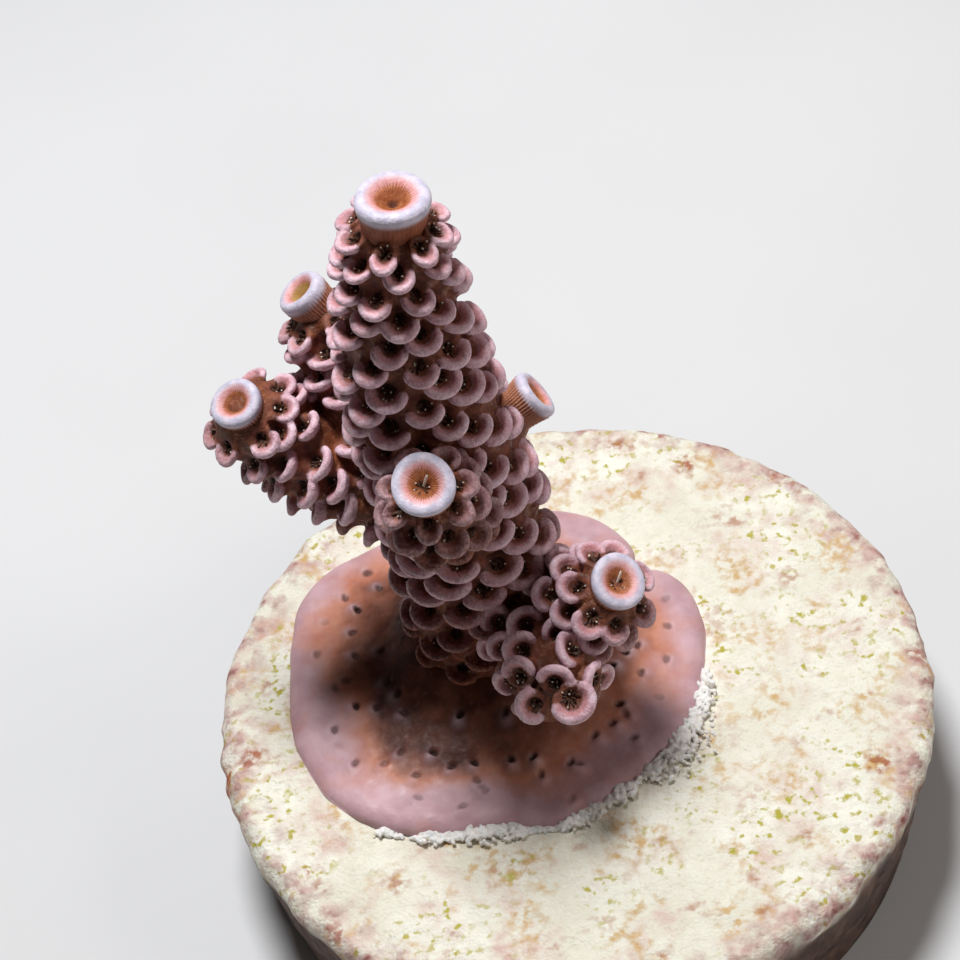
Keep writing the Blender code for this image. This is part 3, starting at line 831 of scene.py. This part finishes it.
def make_limb(name, cups, look):
    """A side branch, with its foot inside its parents."""
    limb, path = LIMBS[name], paths[name]
    margin = path.radii.max() + FIELD_MARGIN
    field = Field(path.points.min(0) - margin, path.points.max(0) + margin)
    stop = int(np.searchsorted(path.lengths, tube_end(path, limb)))
    field.add_tube(path, stop + 2, every=2)
    field.add_cups(cups)
    # The limb's "pale" makes its lips browner; on the front branch this is painted shade
    for cup in cups:
        cup["pale"] *= limb.get("pale", 1.0)
    points, quads = field.surface()
    make_piece(name, points, quads, look, limb_masks(points, cups), (name,))


def make_trunk(cups, look):
    """The stem and the leader with its bud, which meet in a hidden flat cut."""
    limb, path = LIMBS["trunk"], paths["trunk"]
    stop = int(np.searchsorted(path.lengths, tube_end(path, limb)))
    cut = path.at(limb["first"] + (STEM_ROWS + CUT_SHARE) * ROW_PITCH)[0][2]
    bud = Path(**BUD)
    # Lips low on the stem are less pale: partly the tissue's own brown, partly painted shade on the stem's
    # foot
    for cup in cups:
        cup["pale"] *= LOW_PALE + (1 - LOW_PALE) * float(smoothstep(*PALE_HEIGHTS, cup["foot"][2]))
    for name, bottom, top in (("stem", TRUNK_ENDS[0], cut), ("leader", cut, TRUNK_ENDS[1])):
        nearby = [c for c in cups if bottom - 2.5 < c["foot"][2] < top + 2.5]
        low = [*(path.points.min(0)[:2] - 4.9), bottom - 0.3]
        high = [*(path.points.max(0)[:2] + (5.4, 5.2)), top + 0.3]
        field = Field(low, high)
        field.add_tube(path, stop + 1)
        if name == "leader":
            tip = int(np.searchsorted(bud.lengths, bud.length - BUD["cup_height"] - 0.5))
            join = Field(low, high)
            join.add_tube(bud, tip, every=3)
            field.values = smooth_min(field.values, join.values, BUD_BLEND).astype(np.float32)
        field.add_cups(nearby)
        z = field.axes[2]
        beyond = np.maximum(z - top - 0.02, bottom - z) if name == "stem" else bottom - 0.02 - z
        field.values = np.maximum(field.values, beyond)
        points, quads = field.surface()
        make_piece(name, points, quads, look, limb_masks(points, nearby), (name,))


# Axial corallites: shares of the height and of the outer radius, from the foot over the rim to the floor
AXIAL_PROFILE = (
    (-1.6, 0.72), (-0.6, 0.78), (0.0, 0.84), (0.30, 0.88), (0.55, 0.925), (0.72, 0.975), (0.83, 1.0),
    (0.92, 0.98), (0.99, 0.92), (1.03, 0.83), (1.04, 0.73), (1.02, 0.64), (0.97, 0.565), (0.90, 0.50),
    (0.82, 0.42), (0.74, 0.32), (0.67, 0.20), (0.58, 0.10), (0.50, 0.0),
)
AXIAL_LIFT = 0.08
AXIAL_RIBS = 46
AXIAL_SIDES = AXIAL_RIBS * 5
SEPTA = 38
GREEN_FUNNEL = "back_branch"
AXIAL_RINGS = 48


def turns(count):
    """Angles evenly spaced all the way round."""
    return np.linspace(0, math.tau, count, endpoint=False)


def make_axial(name, path, limb, look):
    """The round corallite at a limb's tip, as a ribbed tube with a thick rim and a funnel with ridges."""
    start = rows_end(limb) if "rows" in limb else path.length - limb["cup_height"]
    centre, tangent, side, _ = path.at(start + AXIAL_LIFT)
    across = np.cross(tangent, side)
    knots = np.array(AXIAL_PROFILE)
    along = np.concatenate([[0], np.cumsum(np.hypot(np.diff(knots[:, 0]), np.diff(knots[:, 1])))])
    even = np.linspace(0, along[-1], AXIAL_RINGS)
    heights = np.interp(even, along, knots[:, 0])
    radii = np.interp(even, along, knots[:, 1])
    for _ in range(3):
        heights[1:-1] = (heights[:-2] + 2 * heights[1:-1] + heights[2:]) / 4
        radii[1:-1] = (radii[:-2] + 2 * radii[1:-1] + radii[2:]) / 4
    angle = turns(AXIAL_SIDES)[None, :]
    h = heights[:, None] + 0 * angle
    r = radii[:, None] + 0 * angle
    outer = np.arange(AXIAL_RINGS)[:, None] + 0 * angle <= np.argmax(heights)
    rib = 0.5 + 0.5 * np.cos(AXIAL_RIBS * angle)
    climb = math.tau * h * limb["cup_height"] / 0.17
    knobs = 0.5 + 0.5 * np.cos(climb + 2.2 * np.sin(AXIAL_RIBS / 2 * angle))
    on_wall = outer * smoothstep(0.74, 0.60, h) * limb["ribs"]
    r = r + on_wall * (0.026 * rib + 0.020 * rib * knobs)
    wobble = 1 + 0.03 * np.sin(2 * angle + limb["seed"]) + 0.015 * np.sin(3 * angle)
    septa = 0.5 + 0.5 * np.cos(SEPTA * angle + 0.8 * np.sin(5 * angle))
    in_funnel = (~outer) * smoothstep(0.48, 0.40, radii[:, None]) * smoothstep(0.06, 0.20, radii[:, None])
    r = r * wobble * limb["cup"]
    h = (h + in_funnel * 0.03 * septa) * limb["cup_height"]
    points = (centre + h[..., None] * tangent + (r * np.cos(angle))[..., None] * side
              + (r * np.sin(angle))[..., None] * across)
    ragged = (0.05 + 0.04 * np.sin(13 * angle + limb["seed"])) * (septa - 0.5)
    inwards = radii[:, None] + ragged
    funnel = (~outer) * smoothstep(0.54, 0.42, inwards)
    streak = (~outer) * smoothstep(0.50, 0.36, radii[:, None]) * (1 - septa)
    masks = {
        # Pale on the ribs' crests and knobs: partly their own colour, partly painted highlight
        "rib": on_wall * rib * (0.35 + 0.65 * knobs),
        "ring": np.maximum(outer * smoothstep(0.52, 0.80, heights[:, None]), ~outer) + 0 * angle,
        "blush": (~outer) * smoothstep(0.78, 0.54, inwards),
        "funnel": funnel,
        "green": funnel * name.startswith(GREEN_FUNNEL) * (0.1 + 0.6 * septa),
        "pit": (~outer) * smoothstep(0.20, 0.06, radii[:, None]) * 0.8 + 0.45 * streak,
    }
    make_piece(name, points, grid_faces(AXIAL_RINGS, AXIAL_SIDES), look, masks)


def grid_faces(rings, sides):
    """Quads of a tube of rings, facing out when the rings climb and their points run anticlockwise."""
    ring = np.arange(rings - 1)[:, None] * sides
    k = np.arange(sides)[None, :]
    after = (k + 1) % sides
    return np.stack([ring + k, ring + after, ring + sides + after, ring + sides + k], -1).reshape(-1, 4)


# Polyps: tentacles in a scoop's tuft, sides of a tentacle, shares of its length and width from root to tip,
# how many tips are pale, and from which share of the length
TENTACLES = 13
TENTACLE_SIDES = 5
TENTACLE_RINGS = ((0.0, 1.0), (0.45, 1.0), (0.84, 0.95), (0.94, 0.7), (1.0, 0.15))
PALE_TIPS = 0.3
PALE_FROM = 0.9
# Axial corallites with an open polyp, its number of dark tentacles besides the pale one, and their height
OPEN_AXIALS = ("front_branch", "low_right_branch")
OPEN_TENTACLES = 7
TUFT_HEIGHT = 0.58


def spokes(count, side, across):
    """Directions round an axis, with a little scatter."""
    for k in range(count):
        turn = math.tau * (k + 0.6 * rng.random()) / count
        yield side * math.cos(turn) + across * math.sin(turn)


def tentacle(root, way, bend, length, width, pale, pale_from=PALE_FROM):
    """Points of a short tube that bends a little, and how pale they are."""
    angle = turns(TENTACLE_SIDES)[:, None]
    flat = unit(np.cross(way, (0.31, 0.52, 0.79)))
    other = np.cross(way, flat)
    points, tips = [], []
    for share, thick in TENTACLE_RINGS:
        centre = root + way * length * share + bend * share * share
        points.append(centre + width * thick * (np.cos(angle) * flat + np.sin(angle) * other))
        tips.append(np.full(TENTACLE_SIDES, pale * (share > pale_from)))
    return np.vstack(points), np.concatenate(tips)


def scoop_tuft(cup):
    """Short dark tentacles in a scoop's pit, some of them with a pale tip."""
    middle = cup["foot"] + cup["axis"] * (cup["height"] - 0.38) + cup["low"] * PIT_SHIFT
    open_wide = 0.9 + 0.7 * rng.random()
    for radial in spokes(TENTACLES, cup["low"], cup["across"]):
        way = unit(cup["axis"] + radial * open_wide * (0.15 + 0.85 * rng.random()))
        root = middle + radial * 0.09 * rng.random()
        white = float(rng.random() < PALE_TIPS)
        yield tentacle(root, way, radial * 0.06, 0.26 + 0.26 * rng.random(), 0.055, white)


def axial_tuft(path, limb):
    """A long pale tentacle and a few dark ones in an axial corallite's funnel."""
    centre, tangent, side, _ = path.at(rows_end(limb) + AXIAL_LIFT + TUFT_HEIGHT * limb["cup_height"])
    upward = unit(np.array([0.5, 0.3, 1.0]) - tangent * (tangent @ (0.5, 0.3, 1.0)))
    yield tentacle(centre, unit(tangent + 0.5 * upward), 0.15 * upward, 0.55, 0.06, 0.9, -1)
    for radial in spokes(OPEN_TENTACLES, side, np.cross(tangent, side)):
        root = centre + radial * 0.12 - 0.12 * upward
        white = float(rng.random() < PALE_TIPS)
        yield tentacle(root, unit(tangent + 0.9 * radial), radial * 0.04, 0.26, 0.05, white)


def make_polyps(cups, look):
    """All the polyps' tentacles, joined in one mesh."""
    tufts = [part for cup in cups for part in scoop_tuft(cup)]
    for name in OPEN_AXIALS:
        tufts += axial_tuft(paths[name], LIMBS[name])
    tube = grid_faces(len(TENTACLE_RINGS), TENTACLE_SIDES)
    count = len(TENTACLE_RINGS) * TENTACLE_SIDES
    faces = np.vstack([tube + i * count for i in range(len(tufts))])
    points = np.vstack([part[0] for part in tufts])
    masks = {"tip": np.concatenate([part[1] for part in tufts])}
    make_piece("polyps", points, faces, look, masks)


# The encrusting base: its mesh, the share of its rings on the top, how wide its rounded edge is, its lowest
# height, and where the stem stands on it
BASE_SIDES = 500
BASE_RINGS = 90
BASE_TOP = 0.86
BASE_SWELL = 0.9
BASE_FLOOR = 0.02
HUB = np.array(LIMBS["trunk"]["line"][0][:2])


def base_reach(angle):
    knot = np.mod(angle, math.tau) / math.tau * len(BASE_REACH)
    i = knot.astype(int)
    table = np.array(BASE_REACH)
    a, b, c, d = (table[(i + k) % len(table)] for k in (-1, 0, 1, 2))
    reach = spline(a, b, c, d, knot - i)
    turn, width, depth = BASE_NOTCH
    return reach - depth * np.exp(-((angle - turn) / width) ** 2)


def make_base(look):
    """A low mound of tissue with a rounded lobed edge, set with small corallites."""
    angle = turns(BASE_SIDES)[None, :]
    share = np.linspace(0, 1, BASE_RINGS)[:, None]
    around = np.stack([np.cos(angle) + 0 * share, np.sin(angle) + 0 * share], -1)
    reach = base_reach(angle)
    reach = reach + 0.10 * noise(np.stack([8 * np.cos(angle), 8 * np.sin(angle), 0 * angle], -1), 1.1)
    seat = HUB + around * 1.5
    edge = BASE_CENTRE + around * reach[..., None]
    spacing = np.clip(share / BASE_TOP, 0, 1) ** 0.9
    flat = seat + (edge - seat) * spacing[..., None]
    ground = np.concatenate([flat, 0 * flat[..., :1]], -1)
    from_hub = np.hypot(*(flat - HUB).transpose(2, 0, 1))
    height = BASE_EDGE + BASE_RISE * smoothstep(0.9, 0.1, spacing) + 1.1 * smoothstep(5.2, 2.6, from_hub)
    height = height + 0.10 * noise(ground, 1.9)
    to_edge = np.hypot(*(edge - flat).transpose(2, 0, 1))
    inwards = np.clip(to_edge / BASE_SWELL, 0, 1)
    height = height - BASE_EDGE * (1 - np.sqrt(np.clip(1 - (1 - inwards) ** 2, 0, 1)))
    ring = np.zeros_like(height)
    pit = np.zeros_like(height)
    for x, y, size, turn, outwards in base_pimples():
        dx, dy = flat[..., 0] - x, flat[..., 1] - y
        along = dx * math.cos(turn) + dy * math.sin(turn)
        across = dy * math.cos(turn) - dx * math.sin(turn)
        away = np.hypot(along / 1.5, across)
        lip = np.exp(-(np.hypot(dx - 0.26 * outwards[0], dy - 0.26 * outwards[1]) / 0.30) ** 2)
        height = height + 0.22 * size * lip - 0.30 * size * np.exp(-(away / 0.13) ** 2)
        ring = np.maximum(ring, 0.8 * size * lip)
        pit = np.maximum(pit, size * smoothstep(0.22, 0.09, away))
    under = np.clip((share - BASE_TOP) / (1 - BASE_TOP), 0, 1)
    height = height * (1 - under) + BASE_FLOOR * under
    points = np.concatenate([flat, np.maximum(height, BASE_FLOOR)[..., None]], -1)
    # Share of the warm, dark inner tissue towards the stem; its darkest part is partly painted shade under
    # the coral
    warmth_and_painted_shade = smoothstep(0.4, 4.6, to_edge + 0.9 * noise(ground, 2.6))
    masks = {"warmth_and_painted_shade": warmth_and_painted_shade * (1 - under), "ring": ring, "pit": pit}
    quads = grid_faces(BASE_RINGS, BASE_SIDES)[:, ::-1]
    make_piece("coral_base", points, quads, look, masks, ("coral_base",))


def base_pimples():
    """Places of the base's corallites by the golden angle, with a little scatter."""
    scatter = np.random.default_rng(11)
    for i in range(PIMPLES):
        angle = np.array([i * math.pi * (3 - math.sqrt(5))])
        way = np.array([math.cos(angle[0]), math.sin(angle[0])])
        edge = BASE_CENTRE + way * base_reach(angle)[0]
        share = 0.30 + 0.58 * math.sqrt((i + 0.5) / PIMPLES)
        x, y = HUB + (edge - HUB) * share + scatter.normal(0, 0.42, 2)
        fade = float(smoothstep(1.05, 0.72, share + 0.1 * scatter.random()))
        grown = (0.6 + 0.5 * scatter.random()) * fade
        yield x, y, grown, math.pi * scatter.random(), way


# The disc, and the crust of crumbs where the base meets it: how many crumbs, how many of them in the heap,
# their sizes and angles, and the corners and voxel of its field
DISC_SIDES = 420
CRUMBS = 3600
HEAP_CRUMBS = 420
CRUMB_RADII = (0.04, 0.12)
CRUST_ANGLES = (-135, -5)
HEAP_ANGLE = (math.radians(-36), 0.10)
CRUST_BOX = ((-11.0, -9.5, -0.3), (8.0, 1.5, 1.2))
CRUST_VOXEL = 0.06


def make_disc(look):
    """A lathed disc with a bumpy crusted top, a lumpy rim and a rough tapered side."""
    side_top = -DISC_EDGE_ROUND
    side_foot = -DISC_THICKNESS + 0.3
    edge = DISC_RADIUS - DISC_EDGE_ROUND
    profile = [(r, 0.0) for r in (0.3, 2, 4, 5.5, *np.linspace(6.5, edge, 52))]
    for turn in np.radians(np.linspace(90, 0, 12)[1:]):
        out, lift = DISC_EDGE_ROUND * math.cos(turn), DISC_EDGE_ROUND * math.sin(turn)
        profile.append((edge + out, side_top + lift))
    for share in np.linspace(0, 1, 28)[1:]:
        radius = DISC_RADIUS + (DISC_FOOT_RADIUS - DISC_RADIUS) * share
        profile.append((radius, side_top + (side_foot - side_top) * share))
    profile += [(r, -DISC_THICKNESS) for r in (DISC_FOOT_RADIUS - 0.3, 8.0, 0.3)]
    angle = turns(DISC_SIDES)[None, :]
    r, z = np.array(profile).T[..., None] + 0 * angle
    points = np.stack([r * np.cos(angle), r * np.sin(angle), z], -1)
    on_rim = smoothstep(edge - 1.6, DISC_RADIUS - 0.2, r) * smoothstep(-3.0, -0.6, z)
    lumps = 0.10 * noise(points, 1.5, 1.0) + 0.06 * noise(points, 0.6, 2.0)
    rough = (0.05 + 0.13 * on_rim) * noise(points, 0.9, 3.0) + 0.03 * noise(points, 0.35, 4.0)
    body = smoothstep(-DISC_THICKNESS + 0.02, -DISC_THICKNESS + 0.9, z) * smoothstep(1.0, 3.0, r)
    outward = np.stack([np.cos(angle) + 0 * r, np.sin(angle) + 0 * r, 0 * r], -1)
    flatness = smoothstep(-0.9, -0.1, z)[..., None]
    push = np.array([0, 0, 1]) * flatness + outward * (1 - flatness)
    points = points + push * ((lumps * (0.4 + on_rim) + rough) * body)[..., None]
    side = smoothstep(-0.7, -1.7, z + 0.5 * noise(points, 1.3, 5.0))
    masks = {"rim": on_rim, "side": side, "outer": smoothstep(9.0, 15.5, r)}
    quads = grid_faces(len(profile), DISC_SIDES)[:, ::-1]
    make_piece("frag_disc", points, quads, look, masks, ("frag_disc",))


def make_crust(look):
    """Pale crumbs grown together along the base's front edge and in a heap at its right."""
    scatter = np.random.default_rng(5)
    field = Field(*CRUST_BOX, CRUST_VOXEL)
    for i in range(CRUMBS):
        heap = i < HEAP_CRUMBS
        angle = scatter.normal(*HEAP_ANGLE) if heap else math.radians(scatter.uniform(*CRUST_ANGLES))
        thick = float(smoothstep(-0.5, 0.7, noise(np.array([9 * angle, 3.0, 0.0]), 1.0)))
        if not heap and scatter.random() > 0.10 + 0.90 * thick:
            continue
        out = abs(scatter.normal(0.1, 0.55)) if heap else scatter.normal(0.06, 0.05 + 0.20 * thick)
        reach = base_reach(np.array([angle]))[0] + out
        lift = (0.35 if heap else 0.08 + 0.28 * thick) * scatter.random()
        flat = BASE_CENTRE + reach * np.array([math.cos(angle), math.sin(angle)])
        field.add_blob(np.array([*flat, lift]), scatter.uniform(*CRUMB_RADII))
    points, quads = field.surface()
    make_piece("edge_crust", points, quads, look)


# Floor and light: each light's name, source, target, width, power in watts and colour
FLOOR_REACH = 600 * MM
WORLD_COLOUR = (1.0, 0.93, 0.88, 1.0)
WORLD_STRENGTH = 0.048
LIGHTS = (
    ("key", (-22, 50, 200), (-3, 2, 15), 60, 0.46, (0.97, 0.98, 1.0)),
    ("fill", (150, -50, 120), (-3, 0, 15), 110, 0.085, (1.0, 0.94, 0.90)),
)


def make_camera():
    camera = bpy.data.cameras.new("camera")
    camera.sensor_width = SENSOR_WIDTH
    camera.lens = SENSOR_WIDTH * CAMERA_FOCAL_SHARE
    camera.clip_start = 0.001
    holder = place("camera", camera)
    eye = Vector(CAMERA_EYE) + Vector((0, 0, DISC_THICKNESS))
    turn = Matrix(camera_axes()).transposed()
    holder.matrix_world = Matrix.Translation(eye * MM) @ turn.to_4x4()
    bpy.context.scene.camera = holder


def add_light(name, source, target, size, power, colour):
    light = bpy.data.lights.new(name, "AREA")
    light.shape = "DISK"
    light.size = size * MM
    light.energy = power
    light.color = colour
    holder = place(name, light)
    holder.location = Vector(source) * MM
    holder.rotation_euler = (Vector(target) - Vector(source)).to_track_quat("-Z", "Y").to_euler()


def make_stage():
    mesh = bpy.data.meshes.new("floor")
    corners = [(x * FLOOR_REACH, y * FLOOR_REACH, 0) for x, y in ((-1, -1), (1, -1), (1, 1), (-1, 1))]
    mesh.from_pydata(corners, [], [(0, 1, 2, 3)])
    floor = place("floor", mesh)
    look = Look("pale_floor", 0.9)
    look.colour(look.blotches(40.0, (214, 214, 214), (220, 220, 220)))
    mesh.materials.append(look.material)
    world = bpy.data.worlds.new("studio")
    world.use_nodes = True
    background = world.node_tree.nodes["Background"].inputs
    background["Color"].default_value = WORLD_COLOUR
    background["Strength"].default_value = WORLD_STRENGTH
    bpy.context.scene.world = world
    for light in LIGHTS:
        add_light(*light)


tissue_look = branch_look()
cups = {limb_name: scoops_of(limb_name) for limb_name in LIMBS}
fill_bare_spots(cups)
make_trunk(cups["trunk"], tissue_look)
for limb_name in LIMBS:
    if limb_name != "trunk":
        make_limb(limb_name, cups[limb_name], tissue_look)
tip_look = axial_look()
for limb_name, limb in LIMBS.items():
    if limb["cup"]:
        make_axial(f"{limb_name}_axial", paths[limb_name], limb, tip_look)
make_axial("bud_axial", Path(**BUD), BUD, tip_look)
make_polyps([cup for made in cups.values() for cup in made], polyp_look())
make_base(base_look())
make_disc(disc_look())
make_crust(crust_look())
make_stage()
make_camera()
bpy.context.scene.view_settings.view_transform = "Standard"
